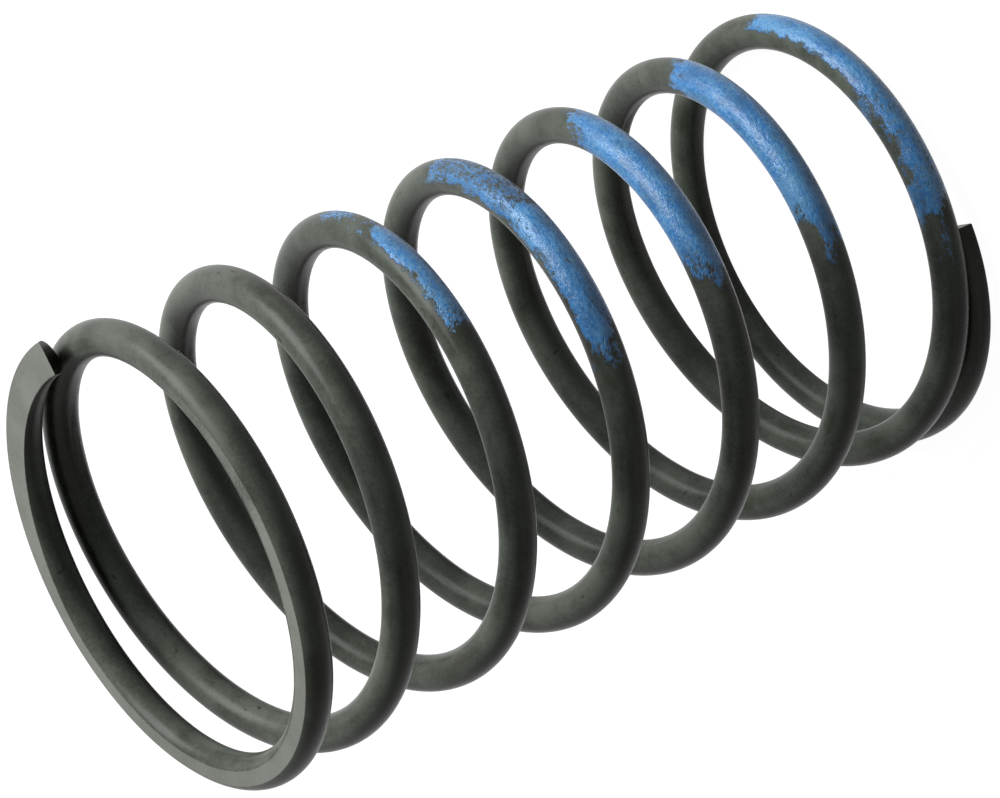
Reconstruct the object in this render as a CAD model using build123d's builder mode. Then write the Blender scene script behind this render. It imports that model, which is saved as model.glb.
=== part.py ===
"""Wastegate spring: a left-hand compression spring of round steel wire, closed and ground at both ends.

All lengths are in millimetres. The spring stands on its lower ground end: +Z is the spring's axis, the
origin is the centre of the lower ground face, and the lower tip of the wire lies on the +X side.
"""
import os
from math import cos, pi, radians, sin, sqrt, tan, tau

from build123d import *

# The body of the spring
wire_diameter = 3.2
outer_diameter = 41.75
free_length = 76.8
total_turns = 7.71

# Where the rise of each end changes, in turns counted from that end's tip
upper_tip_turns = 0.46
upper_closed_turns = 0.67
upper_opening_turns = 1.34
upper_settling_turns = 1.82
lower_tip_turns = 0.25
lower_closed_turns = 0.48
lower_opening_turns = 1.13

# The rise of the wire at each tip, and what the upper end's first open turn rises above the pitch, per turn
upper_tip_rise = 4.3
lower_tip_rise = 2.8
upper_extra_rise = 1.3

# What the grinding leaves of the wire at each tip, measured along the axis
upper_tip_thickness = 2.05
lower_tip_thickness = 1.9

# The upper tip is cut off on a slant, so many degrees from square, that leaves a lip under the ground face
upper_tip_slant = 50

# Past the upper ground face the grinding went on skimming the top of the wire: how far above the wire's
# centre it stayed, and where it rose off the wire, in turns from the upper tip
skimmed_height = 1.4
skim_lifting_turns = 0.75
skim_end_turns = 0.91

# The end turns stand a little wider than the body, and the lower tip is tucked inwards
end_flare = 0.1
flared_turns = 0.6
flare_fade_turns = 0.5
lower_tip_tuck = 1.3

# Each tip all but touches the turn beside it
tip_gap = 0.05

# Arcs of the centreline in each turn
arcs_per_turn = 12

mean_radius = (outer_diameter - wire_diameter) / 2
lower_tip_height = lower_tip_thickness - wire_diameter / 2
upper_tip_height = upper_tip_thickness - wire_diameter / 2


def straight_line_root(function, target):
    """The value at which a straight-line function reaches the target."""
    start = function(0)
    return (target - start) / (function(1) - start)


def upper_rise(closed, pitch):
    """Turns from the upper tip, each with the rise per turn there; the rise is a straight line in between."""
    return [
        (0, upper_tip_rise),
        (upper_tip_turns, closed),
        (upper_closed_turns, closed),
        (upper_opening_turns, pitch + upper_extra_rise),
        (upper_settling_turns, pitch),
        (total_turns, pitch),
    ]


def lower_rise(closed, pitch):
    """Turns from the lower tip, each with the rise per turn there; the rise is a straight line in between."""
    return [
        (0, lower_tip_rise),
        (lower_tip_turns, closed),
        (lower_closed_turns, closed),
        (lower_opening_turns, pitch),
        (total_turns, pitch),
    ]


def height_gained(turns, rise):
    """Height that the wire gains over its first turns from a tip: the area under the line of its rise."""
    gained = 0
    for (start, start_rise), (end, end_rise) in zip(rise, rise[1:]):
        span = min(turns, end) - start
        if span <= 0:
            break
        reached_rise = start_rise + (end_rise - start_rise) * span / (end - start)
        gained += span * (start_rise + reached_rise) / 2
    return gained


def flare(turns):
    """How far the centreline stands outside the mean radius, a number of turns from either tip."""
    faded = (turns - flared_turns) / flare_fade_turns
    return end_flare * (1 - min(max(faded, 0), 1))


def tuck(turns):
    """How far the lower tip is drawn inwards, a number of turns from that tip."""
    return lower_tip_tuck * max(1 - turns / lower_tip_turns, 0) ** 2


def closed_rise(rise_line, pitch, tip_tuck):
    """The rise of a closed end at which its tip lies one wire and the gap away from the turn beside it."""
    sideways = flare(0) - tip_tuck - flare(1)
    along = sqrt((wire_diameter + tip_gap) ** 2 - sideways**2)
    return straight_line_root(lambda rise: height_gained(1, rise_line(rise, pitch)), along)


def both_ends(pitch):
    """The lines of rise of the lower and the upper end at this pitch, each closed onto its next turn."""
    lower = lower_rise(closed_rise(lower_rise, pitch, lower_tip_tuck), pitch)
    upper = upper_rise(closed_rise(upper_rise, pitch, 0), pitch)
    return lower, upper


def centreline_length_along_axis(pitch):
    """Height between the two tips' centres when the turns between the closed ends have this pitch."""
    lower, upper = both_ends(pitch)
    return height_gained(total_turns / 2, lower) + height_gained(total_turns / 2, upper)


pitch = straight_line_root(centreline_length_along_axis, free_length - lower_tip_height - upper_tip_height)
lower_line, upper_line = both_ends(pitch)


def centreline_point(turns):
    """The wire's centre, a number of turns from the lower tip. Seen from above, the coil climbs clockwise."""
    from_upper_tip = total_turns - turns
    if turns < from_upper_tip:
        height = lower_tip_height + height_gained(turns, lower_line)
    else:
        height = free_length - upper_tip_height - height_gained(from_upper_tip, upper_line)
    radius = mean_radius + flare(turns) + flare(from_upper_tip) - tuck(turns)
    angle = -tau * turns
    return (radius * cos(angle), radius * sin(angle), height)


def centreline_direction(turns):
    """Where the wire's centre heads, a number of turns from the lower tip."""
    step = 0.001
    return Vector(*centreline_point(turns + step)) - Vector(*centreline_point(turns))


def skim_point(turns):
    """The skimmed strip's middle, a number of turns from the lower tip, straight above the wire's centre."""
    lifted = (total_turns - turns - skim_lifting_turns) / (skim_end_turns - skim_lifting_turns)
    height = skimmed_height + (wire_diameter / 2 + tip_gap - skimmed_height) * max(lifted, 0)
    x, y, z = centreline_point(turns)
    return (x, y, z + height)


def slant_set_back(height):
    """How far along the wire the slanted cut lies from the square end, at this height from the upper face."""
    return height * tan(radians(upper_tip_slant)) - tip_gap


def chain_of_arcs(points, heading):
    """Arcs from each point to the next, each one tangent to the one before it."""
    for arc_start, arc_end in zip(points, points[1:]):
        arc = TangentArc(arc_start, arc_end, tangent=heading)
        heading = arc % 1


# The centreline and the middle of the skimmed strip are chains of tangent arcs through points of the coil
arc_count = round(arcs_per_turn * total_turns)
arc_turns = [total_turns * i / arc_count for i in range(arc_count + 1)]
skim_turns = [turns for turns in arc_turns if turns > total_turns - skim_end_turns - 0.5 / arcs_per_turn]

with BuildLine() as centreline:
    chain_of_arcs([centreline_point(turns) for turns in arc_turns], centreline_direction(0))
wire_path = centreline.wires()[0]

with BuildLine() as skim_line:
    skim_points = [skim_point(turns) for turns in skim_turns]
    chain_of_arcs(skim_points, Vector(*skim_point(skim_turns[0] + 0.001)) - Vector(*skim_points[0]))
skim_path = skim_line.wires()[0]

upward = Vector(0, 0, 1)

# The wire is coiled from tip to tip, then both ends are ground flat
with BuildPart() as spring:
    with BuildSketch(Plane(origin=wire_path @ 0, x_dir=(-1, 0, 0), z_dir=wire_path % 0)):
        Circle(wire_diameter / 2)
    sweep(path=wire_path)
    split(bisect_by=Plane.XY, keep=Keep.TOP)
    split(bisect_by=Plane.XY.offset(free_length), keep=Keep.BOTTOM)

    # The strip that the grinding skimmed off the rest of the upper turn
    along_strip = skim_path % 0
    with BuildSketch(Plane(origin=skim_path @ 0, x_dir=upward.cross(along_strip), z_dir=along_strip)):
        Rectangle(wire_diameter * 1.2, wire_diameter / 2, align=(Align.CENTER, Align.MIN))
    sweep(path=skim_path, mode=Mode.SUBTRACT)

    # The slanted cut at the upper tip, drawn from the side: it takes the square end and clears the next turn
    tip = wire_path @ 1
    heading = wire_path % 1
    lowest = -upper_tip_thickness - tip_gap / 2
    with BuildSketch(Plane(origin=(tip.X, tip.Y, free_length), x_dir=heading, z_dir=heading.cross(upward))):
        with BuildLine():
            Polyline(
                (slant_set_back(tip_gap), tip_gap),
                (slant_set_back(lowest), lowest),
                (tip_gap, lowest),
                (tip_gap, tip_gap),
                close=True,
            )
        make_face()
    extrude(amount=wire_diameter, both=True, mode=Mode.SUBTRACT)
spring.part.label = "spring"

print(f"pitch {pitch:.3f} mm")
print(f"gap between open turns {pitch - wire_diameter:.3f} mm")
print(f"wire length {wire_path.length:.1f} mm")
print(f"volume before grinding {wire_path.length * pi * wire_diameter**2 / 4:.0f} mm3")
print(f"volume after grinding {spring.part.volume:.0f} mm3")

os.makedirs("parts", exist_ok=True)
export_step(spring.part, "parts/spring.step")
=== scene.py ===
"""Looks of the wastegate spring: dark drawn wire, ground ends and brushed blue paint on five of its turns.

All lengths are in metres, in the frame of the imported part: the spring stands on its lower ground end, and +Z
is its axis.
"""
from collections import namedtuple
from math import cos, pi, radians, sin, tan, tau

import bpy
import numpy as np
from mathutils import Matrix, Vector


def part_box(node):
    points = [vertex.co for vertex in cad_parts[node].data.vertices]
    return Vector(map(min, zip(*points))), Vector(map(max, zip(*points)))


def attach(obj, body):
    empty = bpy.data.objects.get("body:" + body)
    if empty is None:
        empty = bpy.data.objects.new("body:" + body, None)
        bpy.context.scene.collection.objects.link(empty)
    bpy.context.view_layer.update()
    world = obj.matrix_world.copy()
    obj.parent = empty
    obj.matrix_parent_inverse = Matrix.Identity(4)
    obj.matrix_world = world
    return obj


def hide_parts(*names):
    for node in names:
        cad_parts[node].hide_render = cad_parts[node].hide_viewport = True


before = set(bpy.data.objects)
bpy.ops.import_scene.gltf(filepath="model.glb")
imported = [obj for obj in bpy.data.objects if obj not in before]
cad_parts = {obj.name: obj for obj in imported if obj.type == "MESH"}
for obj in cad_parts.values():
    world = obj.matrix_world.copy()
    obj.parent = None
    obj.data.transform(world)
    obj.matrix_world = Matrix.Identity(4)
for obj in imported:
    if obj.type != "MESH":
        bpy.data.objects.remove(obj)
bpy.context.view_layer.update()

MM = 0.001

# The coil's driving dimensions, as in the part's own source
wire_diameter = 3.2 * MM
outer_diameter = 41.75 * MM
free_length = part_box("spring")[1].z
total_turns = 7.71
upper_tip_turns = 0.46
upper_closed_turns = 0.67
upper_opening_turns = 1.34
upper_settling_turns = 1.82
lower_tip_turns = 0.25
lower_closed_turns = 0.48
lower_opening_turns = 1.13
upper_tip_rise = 4.3 * MM
lower_tip_rise = 2.8 * MM
upper_extra_rise = 1.3 * MM
upper_tip_thickness = 2.05 * MM
lower_tip_thickness = 1.9 * MM
upper_tip_slant = radians(50)
skimmed_height = 1.4 * MM
skim_lifting_turns = 0.75
skim_end_turns = 0.91
end_flare = 0.1 * MM
flared_turns = 0.6
flare_fade_turns = 0.5
lower_tip_tuck = 1.3 * MM
tip_gap = 0.05 * MM

# How finely the wire is meshed: sections along it, and points around each section
sections_per_turn = 250
points_around = 48
points_across_flat = 16

# How the flats meet the round of the wire. The point at a flat's corner is drawn in to this share of its
# height over its neighbours, and past the end of a flat the points even out over so many turns
edge_rounding = 0.05 * MM
corner_share = 0.45
flat_fade_turns = 0.05
narrowest_flat = radians(2)

# The chamfer of both cut ends, and the stretch of wire before the upper one over which its slant builds up
tip_chamfer = 0.08 * MM
slant_fade = 6 * MM

# The upper flat loses this share of its shine on its way to the skimmed strip, in turns from the upper tip
skim_dulling_turns = 0.64
skim_dulled_turns = 0.86
skim_dullness = 0.8

# The upper ground face has a worn inner edge, which reaches its full width so many turns from the tip
worn_edge = 0.3 * MM
worn_edge_turns = 0.5

mean_radius = (outer_diameter - wire_diameter) / 2
wire_radius = wire_diameter / 2
lower_tip_height = lower_tip_thickness - wire_radius
upper_tip_height = upper_tip_thickness - wire_radius
middle_of_spring = Vector((0, 0, free_length / 2))


# The centreline of the coil


def straight_line_root(function, target):
    """The value at which a straight-line function reaches the target."""
    start = function(0)
    return (target - start) / (function(1) - start)


def upper_rise(closed, pitch):
    """Turns from the upper tip, each with the rise per turn there."""
    return [
        (0, upper_tip_rise),
        (upper_tip_turns, closed),
        (upper_closed_turns, closed),
        (upper_opening_turns, pitch + upper_extra_rise),
        (upper_settling_turns, pitch),
        (total_turns, pitch),
    ]


def lower_rise(closed, pitch):
    """Turns from the lower tip, each with the rise per turn there."""
    return [
        (0, lower_tip_rise),
        (lower_tip_turns, closed),
        (lower_closed_turns, closed),
        (lower_opening_turns, pitch),
        (total_turns, pitch),
    ]


def height_gained(turns, rise):
    """Height that the wire gains over its first turns from a tip: the area under the line of its rise."""
    gained = 0 * turns
    for (start, start_rise), (end, end_rise) in zip(rise, rise[1:]):
        span = np.clip(turns, start, end) - start
        reached_rise = start_rise + (end_rise - start_rise) * span / (end - start)
        gained = gained + span * (start_rise + reached_rise) / 2
    return gained


def flare(turns):
    """How far the centreline stands outside the mean radius, a number of turns from either tip."""
    return end_flare * (1 - np.clip((turns - flared_turns) / flare_fade_turns, 0, 1))


def tuck(turns):
    """How far the lower tip is drawn inwards, a number of turns from that tip."""
    return lower_tip_tuck * np.maximum(1 - turns / lower_tip_turns, 0) ** 2


def closed_rise(rise_line, pitch, tip_tuck):
    """The rise of a closed end at which its tip lies one wire and the gap away from the turn beside it."""
    sideways = flare(0) - tip_tuck - flare(1)
    along = ((wire_diameter + tip_gap) ** 2 - sideways**2) ** 0.5
    return straight_line_root(lambda rise: height_gained(1, rise_line(rise, pitch)), along)


def both_ends(pitch):
    """The lines of rise of the lower and the upper end at this pitch, each closed onto its next turn."""
    lower = lower_rise(closed_rise(lower_rise, pitch, lower_tip_tuck), pitch)
    upper = upper_rise(closed_rise(upper_rise, pitch, 0), pitch)
    return lower, upper


def height_between_tips(pitch):
    """Height between the two tips' centres when the turns between the closed ends have this pitch."""
    lower, upper = both_ends(pitch)
    return height_gained(total_turns / 2, lower) + height_gained(total_turns / 2, upper)


pitch = straight_line_root(height_between_tips, free_length - lower_tip_height - upper_tip_height)
lower_line, upper_line = both_ends(pitch)


def centreline(turns):
    """The wire's centre at these turns from the lower tip. Seen from above, the coil climbs clockwise."""
    from_upper_tip = total_turns - turns
    from_below = lower_tip_height + height_gained(turns, lower_line)
    from_above = free_length - upper_tip_height - height_gained(from_upper_tip, upper_line)
    height = np.where(turns < from_upper_tip, from_below, from_above)
    radius = mean_radius + flare(turns) + flare(from_upper_tip) - tuck(turns)
    angle = -tau * turns
    return np.stack([radius * np.cos(angle), radius * np.sin(angle), height], axis=-1)


def unit(vectors):
    """The vectors, each brought to a length of 1."""
    return vectors / np.linalg.norm(vectors, axis=-1, keepdims=True)


def section_axes(turns):
    """The wire's own directions at these turns: outwards from the coil, upwards, and where the wire heads."""
    step = 0.0001
    heading = unit(centreline(turns + step) - centreline(turns - step))
    outward = unit(np.cross([0.0, 0.0, 1.0], heading))
    upward = np.cross(heading, outward)
    return outward, upward, heading


# The wire's mesh


def smooth(value):
    """A soft step from 0 to 1."""
    value = np.clip(value, 0, 1)
    return value * value * (3 - 2 * value)


def height_to_flat(turns):
    """From the wire's centre down to the lower ground face, or up to the upper one or its skimmed strip."""
    height = centreline(turns)[..., 2]
    lifted = (total_turns - turns - skim_lifting_turns) / (skim_end_turns - skim_lifting_turns)
    skim = skimmed_height + (wire_radius + tip_gap - skimmed_height) * np.maximum(lifted, 0)
    return np.where(turns < total_turns / 2, height, np.minimum(free_length - height, skim))


def flat_half_angles(turns):
    """Half the angle that the ground flat takes of each section, seen from its centre; 0 without a flat."""
    to_flat = height_to_flat(turns) / section_axes(turns)[1][:, 2]
    return np.arccos(np.clip(to_flat / wire_radius, -1, 1))


# The two corners of the flat among the points of a section, whose middle point is the middle of the flat
flat_corners = [(points_around - points_across_flat) // 2, (points_around + points_across_flat) // 2]


def section_angles(half_angle, evenness):
    """Angles of a section's points from the middle of its flat. An evenness of 1 spaces them evenly."""
    step = tau / points_around
    even = (np.arange(points_around) - points_around // 2) * step
    even_corner = points_across_flat / 2 * step
    corner = half_angle + (even_corner - half_angle) * evenness
    inside = even * corner / even_corner
    outside = pi - (pi - np.abs(even)) * (pi - corner) / (pi - even_corner)
    angles = np.where(np.abs(even) <= even_corner, inside, np.sign(even) * outside)
    rounding = min(edge_rounding / wire_radius, corner / 4)
    reach = rounding + (step - rounding) * evenness
    for side, at_corner in zip((-1, 1), flat_corners):
        angles[at_corner - 1] = side * corner - reach
        angles[at_corner + 1] = side * corner + reach
    return angles


def slanted_turns(turn, points):
    """The turn of each point of a section, once the upper tip is cut back on a slant below its lip."""
    to_lip = (total_turns - turn) * tau * mean_radius
    set_back = (free_length - points[:, 2]) * tan(upper_tip_slant) * max(1 - to_lip / slant_fade, 0)
    return turn - set_back / (tau * mean_radius)


Ring = namedtuple("Ring", "turns centres outward upward heading radial points on_flat is_skimmed")
Section = namedtuple("Section", "turn is_tip points normals straight ground")


def ground_ring(turns, around, side):
    """A ring of points on the wire, one at each turn given, with any beyond the flat brought back onto it.

    The side is 1 where the flat faces down and -1 where it faces up.
    """
    outward, upward, heading = section_axes(turns)
    centres = centreline(turns)
    radial = np.cos(around)[:, None] * outward + np.sin(around)[:, None] * upward
    points = centres + wire_radius * radial
    flat = centres[:, 2] - height_to_flat(turns) * side
    beyond = np.maximum((flat - points[:, 2]) * side, 0)
    points += (beyond / upward[:, 2] * side)[:, None] * upward
    is_skimmed = side == -1 and flat[0] < free_length - edge_rounding
    return Ring(turns, centres, outward, upward, heading, radial, points, beyond > 0, is_skimmed)


def flat_shine(turn, half_angle, angles):
    """The share of a ground face's shine at each point of a section's flat, which fades in from one edge.

    The upper flat is worn at that edge, its inner one, and duller where it goes over to the skimmed strip.
    """
    from_upper_tip = total_turns - turn
    shine = 1
    worn = edge_rounding
    if turn >= total_turns / 2:
        dulled = (from_upper_tip - skim_dulling_turns) / (skim_dulled_turns - skim_dulling_turns)
        shine = 1 - skim_dullness * smooth(dulled)
        worn = max(worn_edge * smooth(from_upper_tip / worn_edge_turns), edge_rounding)
    from_edge = wire_radius * (np.sin(half_angle) - np.sin(angles))
    return shine * np.clip(from_edge / worn, 0, 1)


def round_corners(points, normals):
    """Draw the flat's two corners in towards their neighbours, and turn their normals halfway between."""
    for corner in flat_corners:
        normals[corner] = unit(normals[corner - 1] + normals[corner + 1])
        halfway = (points[corner - 1] + points[corner + 1]) / 2
        points[corner] = halfway + (points[corner] - halfway) * corner_share


def chamfered_tip(points, heading, side):
    """The last section of a tip, smaller by its chamfer, and the normals of its cut end."""
    middle = points.mean(axis=0)
    points = middle + (points - middle) * (1 - tip_chamfer / wire_radius)
    lean = 0 if side == 1 else upper_tip_slant
    facing = -side * cos(lean) * heading.mean(axis=0) - sin(lean) * np.array([0.0, 0.0, 1.0])
    return points, np.tile(unit(facing), (points_around, 1))


def wire_section(turn, is_tip, half_angle, evenness, run_at):
    """One section of the wire: its surface, normals, place on the straightened wire, and shine."""
    side = 1 if turn < total_turns / 2 else -1
    angles = section_angles(max(half_angle, narrowest_flat), evenness)
    around = angles - side * pi / 2
    ring = ground_ring(np.full(points_around, turn), around, side)
    if side == -1:
        ring = ground_ring(slanted_turns(turn, ring.points), around, side)

    points = ring.points
    flat_normal = ring.upward if ring.is_skimmed else [0.0, 0.0, -1.0 * side]
    normals = np.where(ring.on_flat[:, None], flat_normal, ring.radial)
    if half_angle > narrowest_flat:
        round_corners(points, normals)
    if is_tip:
        points, normals = chamfered_tip(points, ring.heading, side)

    from_centre = points - ring.centres
    across = (from_centre * ring.outward).sum(axis=1)
    height = (from_centre * ring.upward).sum(axis=1)
    straight = np.stack([across, height, run_at(ring.turns)], axis=1)
    ground = ring.on_flat * flat_shine(turn, half_angle, angles)

    # A section's first point lies opposite its flat. Flats face up in the spring's upper half and down in the
    # lower one, so the upper half's points are rolled half round the wire to line up with the lower half's
    shift = 0 if side == 1 else points_around // 2
    rolled = [np.roll(each, shift, axis=0) for each in (points, normals, straight, ground)]
    return Section(turn, is_tip, *rolled)


def wire_sections():
    """Every section of the wire, from the lower tip to the upper one."""
    count = round(sections_per_turn * total_turns)
    chamfer_turns = tip_chamfer / (tau * mean_radius)
    turns = np.linspace(0, total_turns, count + 1)
    turns = np.sort(np.concatenate([turns, [chamfer_turns, total_turns - chamfer_turns]]))
    runs = np.concatenate([[0], np.cumsum(np.linalg.norm(np.diff(centreline(turns), axis=0), axis=1))])
    half_angles = flat_half_angles(turns)
    flat_turns = turns[half_angles > 0]
    lower_flat_end = flat_turns[flat_turns < total_turns / 2].max()
    upper_flat_start = flat_turns[flat_turns > total_turns / 2].min()
    past_flat = np.where(turns < total_turns / 2, turns - lower_flat_end, upper_flat_start - turns)
    evenness = smooth(past_flat / flat_fade_turns)
    is_tip = np.isin(turns, (turns[0], turns[-1]))
    return [
        wire_section(*facts, run_at=lambda places: np.interp(places, turns, runs))
        for facts in zip(turns, is_tip, half_angles, evenness)
    ]


# Blue paint, brushed along one side of the spring. Each dab lies between two places along the wire, in turns
# from the lower tip, and two angles around it, in degrees, where 0 faces out of the coil and 90 faces up. A
# slant is how many turns further along the upper edge starts or ends. Cover is the share the brush filled.
Dab = namedtuple("Dab", "start end lowest highest start_slant end_slant cover")
PAINT = [
    Dab(0.752, 0.905, -90, 60, 0.004, 0.0, 1.0),
    Dab(0.865, 0.970, -90, 58, 0.0, 0.0, 0.70),
    Dab(0.874, 0.906, 30, 118, 0.0, 0.006, 0.52),
    Dab(0.952, 0.978, 0, 104, 0.002, 0.0, 0.84),
    Dab(0.986, 1.010, 10, 54, 0.0, 0.0, 0.42),
    Dab(1.768, 1.960, -55, 160, 0.026, -0.030, 0.96),
    Dab(1.820, 1.968, -90, 30, 0.0, 0.0, 0.80),
    Dab(2.757, 2.956, -90, 150, 0.050, -0.026, 0.86),
    Dab(3.738, 3.852, -50, 84, 0.0, 0.0, 0.54),
    Dab(3.765, 3.880, 32, 86, 0.0, 0.0, 0.66),
    Dab(3.840, 3.962, -8, 72, -0.01, 0.0, 0.88),
    Dab(3.844, 3.936, -90, 20, 0.0, 0.01, 0.84),
    Dab(4.740, 4.780, -80, 34, 0.006, 0.0, 0.60),
    Dab(4.798, 4.908, -90, 34, 0.006, -0.008, 0.78),
]

# The brush ran along the wire, so distance along it counts for this much of the same distance around it
paint_feather_along = 0.35


def paint_reach(turns, angles):
    """How far inside the nearest dab of paint each point lies, in metres, and that dab's cover."""
    along = tau * mean_radius * paint_feather_along
    reach = np.full(turns.shape, -1.0)
    cover = np.zeros(turns.shape)
    for dab in PAINT:
        rise = np.clip((angles - dab.lowest) / (dab.highest - dab.lowest), 0, 1)
        past_start = (turns - dab.start - dab.start_slant * rise) * along
        before_end = (dab.end + dab.end_slant * rise - turns) * along
        above = np.radians(angles - dab.lowest) * wire_radius
        below = np.radians(dab.highest - angles) * wire_radius
        inside = np.minimum(np.minimum(past_start, before_end), np.minimum(above, below))
        nearer = inside > reach
        reach = np.where(nearer, inside, reach)
        cover = np.where(nearer, dab.cover, cover)
    return reach, cover


def add_attribute(mesh, name, kind, values):
    """Values for the material to read, one for each point of the mesh."""
    attribute = mesh.attributes.new(name, kind, "POINT")
    key = "vector" if kind == "FLOAT_VECTOR" else "value"
    attribute.data.foreach_set(key, np.ascontiguousarray(values, dtype=np.float32).ravel())


def tube_faces(rings):
    """The faces of a tube of so many rings of points, closed by one face at each end."""
    ring = np.arange(points_around)
    next_round = np.roll(ring, -1)
    starts = np.arange(rings)[:, None] * points_around
    here, ahead = starts[:-1], starts[1:]
    around = np.stack([here + ring, here + next_round, ahead + next_round, ahead + ring], axis=-1)
    return around.reshape(-1, 4).tolist() + [ring[::-1].tolist(), (ring + starts[-1]).tolist()]


def add_object(name, data):
    """A new object in the scene, with this name and data."""
    thing = bpy.data.objects.new(name, data)
    bpy.context.scene.collection.objects.link(thing)
    return thing


def make_wire():
    """The whole wire as one closed mesh."""
    sections = wire_sections()
    turns, is_tip, points, normals, straight, ground = (list(column) for column in zip(*sections))
    mesh = bpy.data.meshes.new("spring_wire")
    mesh.from_pydata(np.concatenate(points).tolist(), [], tube_faces(len(sections)))
    mesh.polygons.foreach_set("use_smooth", [True] * len(mesh.polygons))
    mesh.normals_split_custom_set_from_vertices(np.concatenate(normals).tolist())
    straight = np.concatenate(straight)
    angles = np.degrees(np.arctan2(straight[:, 1], straight[:, 0]))
    reach, cover = paint_reach(np.repeat(turns, points_around), angles)
    add_attribute(mesh, "straight_wire", "FLOAT_VECTOR", straight)
    add_attribute(mesh, "ground", "FLOAT", np.concatenate(ground))
    # Marks the cut ends, which the material paints near black as painted shade
    add_attribute(mesh, "cut_end_shade", "FLOAT", np.repeat(is_tip, points_around))
    add_attribute(mesh, "paint_reach", "FLOAT", reach / MM)
    add_attribute(mesh, "paint_cover", "FLOAT", cover)
    mesh.validate()
    return add_object("spring_wire", mesh)


# Materials


class Nodes:
    """The node tree of a material or a world, with a short call for each kind of node used here."""

    def __init__(self, owner):
        owner.use_nodes = True
        self.tree = owner.node_tree
        self.tree.nodes.clear()

    def add(self, kind, inputs=(), **settings):
        """A node with these settings, whose inputs are linked to sockets or set to values."""
        node = self.tree.nodes.new(kind)
        for key, value in settings.items():
            setattr(node, key, value)
        for key, value in dict(inputs).items():
            if isinstance(value, bpy.types.NodeSocket):
                self.tree.links.new(value, node.inputs[key])
            else:
                node.inputs[key].default_value = value
        return node

    def attribute(self, name, output="Fac"):
        return self.add("ShaderNodeAttribute", attribute_name=name).outputs[output]

    def math(self, operation, first, second):
        return self.add("ShaderNodeMath", {0: first, 1: second}, operation=operation).outputs[0]

    def noise(self, place, scale, along=1.0, detail=2.0, roughness=0.5):
        """Noise at this scale around the wire and this share of it along the wire, which draws it out."""
        inputs = {"Vector": place, "Scale": (1.0, 1.0, along)}
        drawn_out = self.add("ShaderNodeMapping", inputs, vector_type="POINT").outputs[0]
        inputs = {"Vector": drawn_out, "Scale": scale, "Detail": detail, "Roughness": roughness}
        return self.add("ShaderNodeTexNoise", inputs).outputs["Fac"]

    def ramp(self, value, low, high, to_low=0.0, to_high=1.0):
        """The value's stretch from low to high, brought to run from to_low to to_high and held beyond."""
        inputs = {"Value": value, "From Min": low, "From Max": high, "To Min": to_low, "To Max": to_high}
        return self.add("ShaderNodeMapRange", inputs, interpolation_type="SMOOTHSTEP").outputs[0]

    def swing(self, noise, amount=1.0):
        """Noise moved to swing about 0, by this amount over its whole range."""
        return self.math("MULTIPLY", self.math("SUBTRACT", noise, 0.5), amount)

    def mix(self, share, first, second):
        """Two colours mixed."""
        colours = [c if isinstance(c, bpy.types.NodeSocket) else (*c, 1.0) for c in (first, second)]
        inputs = {0: share, 6: colours[0], 7: colours[1]}
        return self.add("ShaderNodeMix", inputs, data_type="RGBA").outputs[2]

    def blend(self, share, first, second):
        """Two numbers mixed."""
        inputs = {0: share, 2: first, 3: second}
        return self.add("ShaderNodeMix", inputs, data_type="FLOAT").outputs[0]

    def bump(self, height, distance, strength, **normal):
        """A bumped normal, on top of another one where it is given as Normal."""
        inputs = {"Height": height, "Distance": distance, "Strength": strength, **normal}
        return self.add("ShaderNodeBump", inputs).outputs[0]

    def seen(self):
        """1 to the camera, in reflections and through glass, and 0 to the light that falls on the spring."""
        rays = self.add("ShaderNodeLightPath").outputs
        seen = self.math("MAXIMUM", rays["Is Camera Ray"], rays["Is Glossy Ray"])
        return self.math("MAXIMUM", seen, rays["Is Transmission Ray"])


STEEL_DARK = (0.054, 0.062, 0.050)
STEEL_LIGHT = (0.108, 0.121, 0.101)
GROUND_DARK = (0.164, 0.175, 0.151)
GROUND_LIGHT = (0.212, 0.225, 0.199)
# Near-black steel, used for the real dark nicks and as painted shade on the cut ends, which stand in shadow
DARK_NICKS_AND_CUT_END_SHADE = (0.020, 0.022, 0.017)
STAIN_STEEL = (0.040, 0.042, 0.030)
BLUE_DEEP = (0.012, 0.172, 0.480)
BLUE_LIGHT = (0.096, 0.300, 0.565)

# How deep the steel's grain and the brushed paint's ridges are
steel_relief = 0.01 * MM
paint_relief = 0.16 * MM

# How far the paint's edge wanders over the whole range of its noise, in millimetres
paint_edge_swing = 2.2


def bare_steel(n, straight, tone, clouds, grain):
    """The colour of the wire without its paint: clouded, stained and nicked, pale where it is ground, and
    painted near black at its cut ends as painted shade.
    """
    drawn = n.mix(n.ramp(tone, 0.35, 0.65), STEEL_DARK, STEEL_LIGHT)
    stains = n.noise(straight, 230, along=0.5, detail=6, roughness=0.7)
    drawn = n.mix(n.ramp(stains, 0.50, 0.68, 0.0, 0.75), drawn, STAIN_STEEL)
    nicks = n.noise(straight, 900, along=0.7)
    drawn = n.mix(n.ramp(nicks, 0.70, 0.76, 0.0, 0.8), drawn, DARK_NICKS_AND_CUT_END_SHADE)
    ground = n.math("ADD", n.attribute("ground"), n.swing(n.blend(0.5, clouds, grain)))
    polished = n.mix(n.ramp(tone, 0.35, 0.65), GROUND_DARK, GROUND_LIGHT)
    steel = n.mix(n.ramp(ground, 0.15, 0.7), drawn, polished)
    # The cut ends are painted near black: painted shade for the shadow they stand in
    return n.mix(n.attribute("cut_end_shade"), steel, DARK_NICKS_AND_CUT_END_SHADE)


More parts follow.
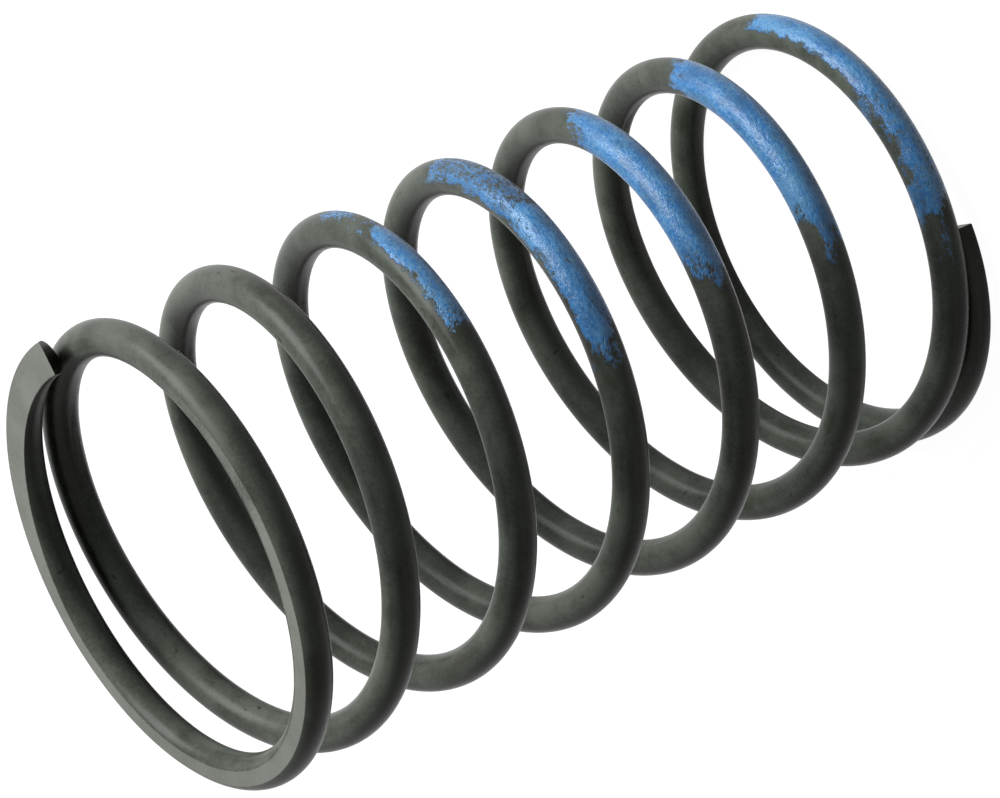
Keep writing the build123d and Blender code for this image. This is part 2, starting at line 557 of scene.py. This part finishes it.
def paint_share(n, ragged, pools, flecks, brush):
    """How much blue covers each place: ragged at the dabs' edges, thin in places and missed in flecks."""
    from_edge = n.math("ADD", n.attribute("paint_reach"), n.swing(ragged, paint_edge_swing))
    thickness = n.math("MULTIPLY", n.ramp(from_edge, -0.75, 0.50), n.ramp(n.attribute("paint_cover"), 0, 1))
    misses = n.math("SUBTRACT", n.blend(0.5, flecks, brush), n.math("MULTIPLY", thickness, 0.42))
    thin = n.ramp(n.blend(0.5, pools, ragged), 0.36, 0.58, 0.66, 1.0)
    return n.math("MULTIPLY", n.ramp(misses, 0.38, 0.16), thin)


def wire_material():
    """Dark drawn spring wire, with its ground ends, its cut tips painted near black as shade, and its brushed
    blue paint.
    """
    material = bpy.data.materials.new("dark_spring_wire")
    n = Nodes(material)
    straight = n.attribute("straight_wire", "Vector")
    clouds = n.noise(straight, 220, detail=3, roughness=0.55)
    grain = n.noise(straight, 3500)
    drawing_lines = n.noise(straight, 2400, along=0.1)
    tone = n.math("ADD", n.math("MULTIPLY", clouds, 0.75), n.math("MULTIPLY", grain, 0.25))
    steel = bare_steel(n, straight, tone, clouds, grain)

    ragged = n.noise(straight, 900, along=0.6, detail=3, roughness=0.55)
    flecks = n.noise(straight, 4200, along=0.7, detail=3, roughness=0.6)
    pools = n.noise(straight, 480, along=0.45, detail=3, roughness=0.55)
    brush = n.noise(straight, 3000, along=0.45, detail=4, roughness=0.65)
    paint = paint_share(n, ragged, pools, flecks, brush)
    blue = n.mix(n.ramp(n.blend(0.6, pools, flecks), 0.40, 0.60), BLUE_DEEP, BLUE_LIGHT)

    normal = n.bump(grain, steel_relief, 0.3)
    normal = n.bump(drawing_lines, steel_relief, 0.3, Normal=normal)
    ridges = n.math("MULTIPLY", paint, n.blend(0.4, brush, flecks))
    inputs = {
        "Base Color": n.mix(paint, steel, blue),
        "Roughness": n.blend(paint, n.ramp(tone, 0.3, 0.7, 0.26, 0.38), n.ramp(brush, 0.3, 0.7, 0.22, 0.36)),
        "Normal": n.bump(ridges, paint_relief, 1.0, Normal=normal),
        "Specular IOR Level": n.blend(paint, 0.10, 0.40),
    }
    shader = n.add("ShaderNodeBsdfPrincipled", inputs).outputs[0]
    n.add("ShaderNodeOutputMaterial", {"Surface": shader})
    return material


# Surroundings

FLOOR_COLOUR = (0.15, 0.15, 0.15)
FLOOR_LIFT = 0.98
floor_size = 6.0
AMBIENT = 0.003


def floor_material():
    """A pale floor that shows white to the camera and in reflections, and keeps the spring's shadow."""
    material = bpy.data.materials.new("pale_floor")
    n = Nodes(material)
    diffuse = n.add("ShaderNodeBsdfDiffuse", {"Color": (*FLOOR_COLOUR, 1.0)}).outputs[0]
    glow = n.add("ShaderNodeEmission", {"Strength": n.math("MULTIPLY", n.seen(), FLOOR_LIFT)}).outputs[0]
    surface = n.add("ShaderNodeAddShader", {0: diffuse, 1: glow}).outputs[0]
    n.add("ShaderNodeOutputMaterial", {"Surface": surface})
    return material


def make_floor():
    half = floor_size / 2
    corners = [(-half, -half, 0), (half, -half, 0), (half, half, 0), (-half, half, 0)]
    mesh = bpy.data.meshes.new("floor")
    mesh.from_pydata(corners, [], [(0, 1, 2, 3)])
    mesh.materials.append(floor_material())
    add_object("floor", mesh)


def make_world():
    """A world that shows white to the camera and in reflections, and lights the spring only faintly."""
    world = bpy.data.worlds.new("studio")
    n = Nodes(world)
    strength = n.ramp(n.seen(), 0, 1, AMBIENT, 1.0)
    background = n.add("ShaderNodeBackground", {"Color": (1, 1, 1, 1), "Strength": strength}).outputs[0]
    n.add("ShaderNodeOutputWorld", {"Surface": background})
    bpy.context.scene.world = world


# The camera stands where the photograph was taken from, worked out from the outline of the coil there
camera_azimuth = radians(15.475)
camera_elevation = radians(30.248)
camera_roll = radians(-116.589)
camera_distance = 430.17 * MM
sensor_width = 36.0
focal_length = 178.54
sight_right = 0.694 * MM
sight_up = 0.809 * MM

# Square lamps that face the middle of the spring. Each stands in a direction given by its shares of the
# picture's right, up and back
Lamp = namedtuple("Lamp", "name right up back size power")
LAMPS = [
    Lamp("key", -0.88, 0.34, 0.30, 0.36, 5.4),
    Lamp("fill", 0.55, -0.65, 0.50, 0.30, 0.14),
]
lamp_distance = 0.6


def camera_axes():
    """The camera's right, up and backward directions."""
    level = cos(camera_elevation)
    back = Vector((level * cos(camera_azimuth), level * sin(camera_azimuth), sin(camera_elevation)))
    level_right = Vector((0, 0, 1)).cross(back).normalized()
    level_up = back.cross(level_right)
    right = cos(camera_roll) * level_right + sin(camera_roll) * level_up
    up = -sin(camera_roll) * level_right + cos(camera_roll) * level_up
    return right, up, back


def make_camera():
    right, up, back = camera_axes()
    data = bpy.data.cameras.new("camera")
    data.sensor_width = sensor_width
    data.lens = focal_length
    camera = add_object("camera", data)
    camera.matrix_world = Matrix((right, up, back)).transposed().to_4x4()
    camera.location = middle_of_spring + camera_distance * back - sight_right * right - sight_up * up
    bpy.context.scene.camera = camera


def make_softbox(lamp):
    right, up, back = camera_axes()
    towards = (lamp.right * right + lamp.up * up + lamp.back * back).normalized()
    data = bpy.data.lights.new(lamp.name, "AREA")
    data.shape = "SQUARE"
    data.size = lamp.size
    data.energy = lamp.power
    softbox = add_object(lamp.name, data)
    softbox.location = middle_of_spring + towards * lamp_distance
    softbox.rotation_euler = towards.to_track_quat("Z", "Y").to_euler()


make_camera()
make_world()
make_floor()
for lamp in LAMPS:
    make_softbox(lamp)

spring = make_wire()
spring.data.materials.append(wire_material())
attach(spring, "root")
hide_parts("spring")

bpy.context.scene.view_settings.view_transform = "Standard"
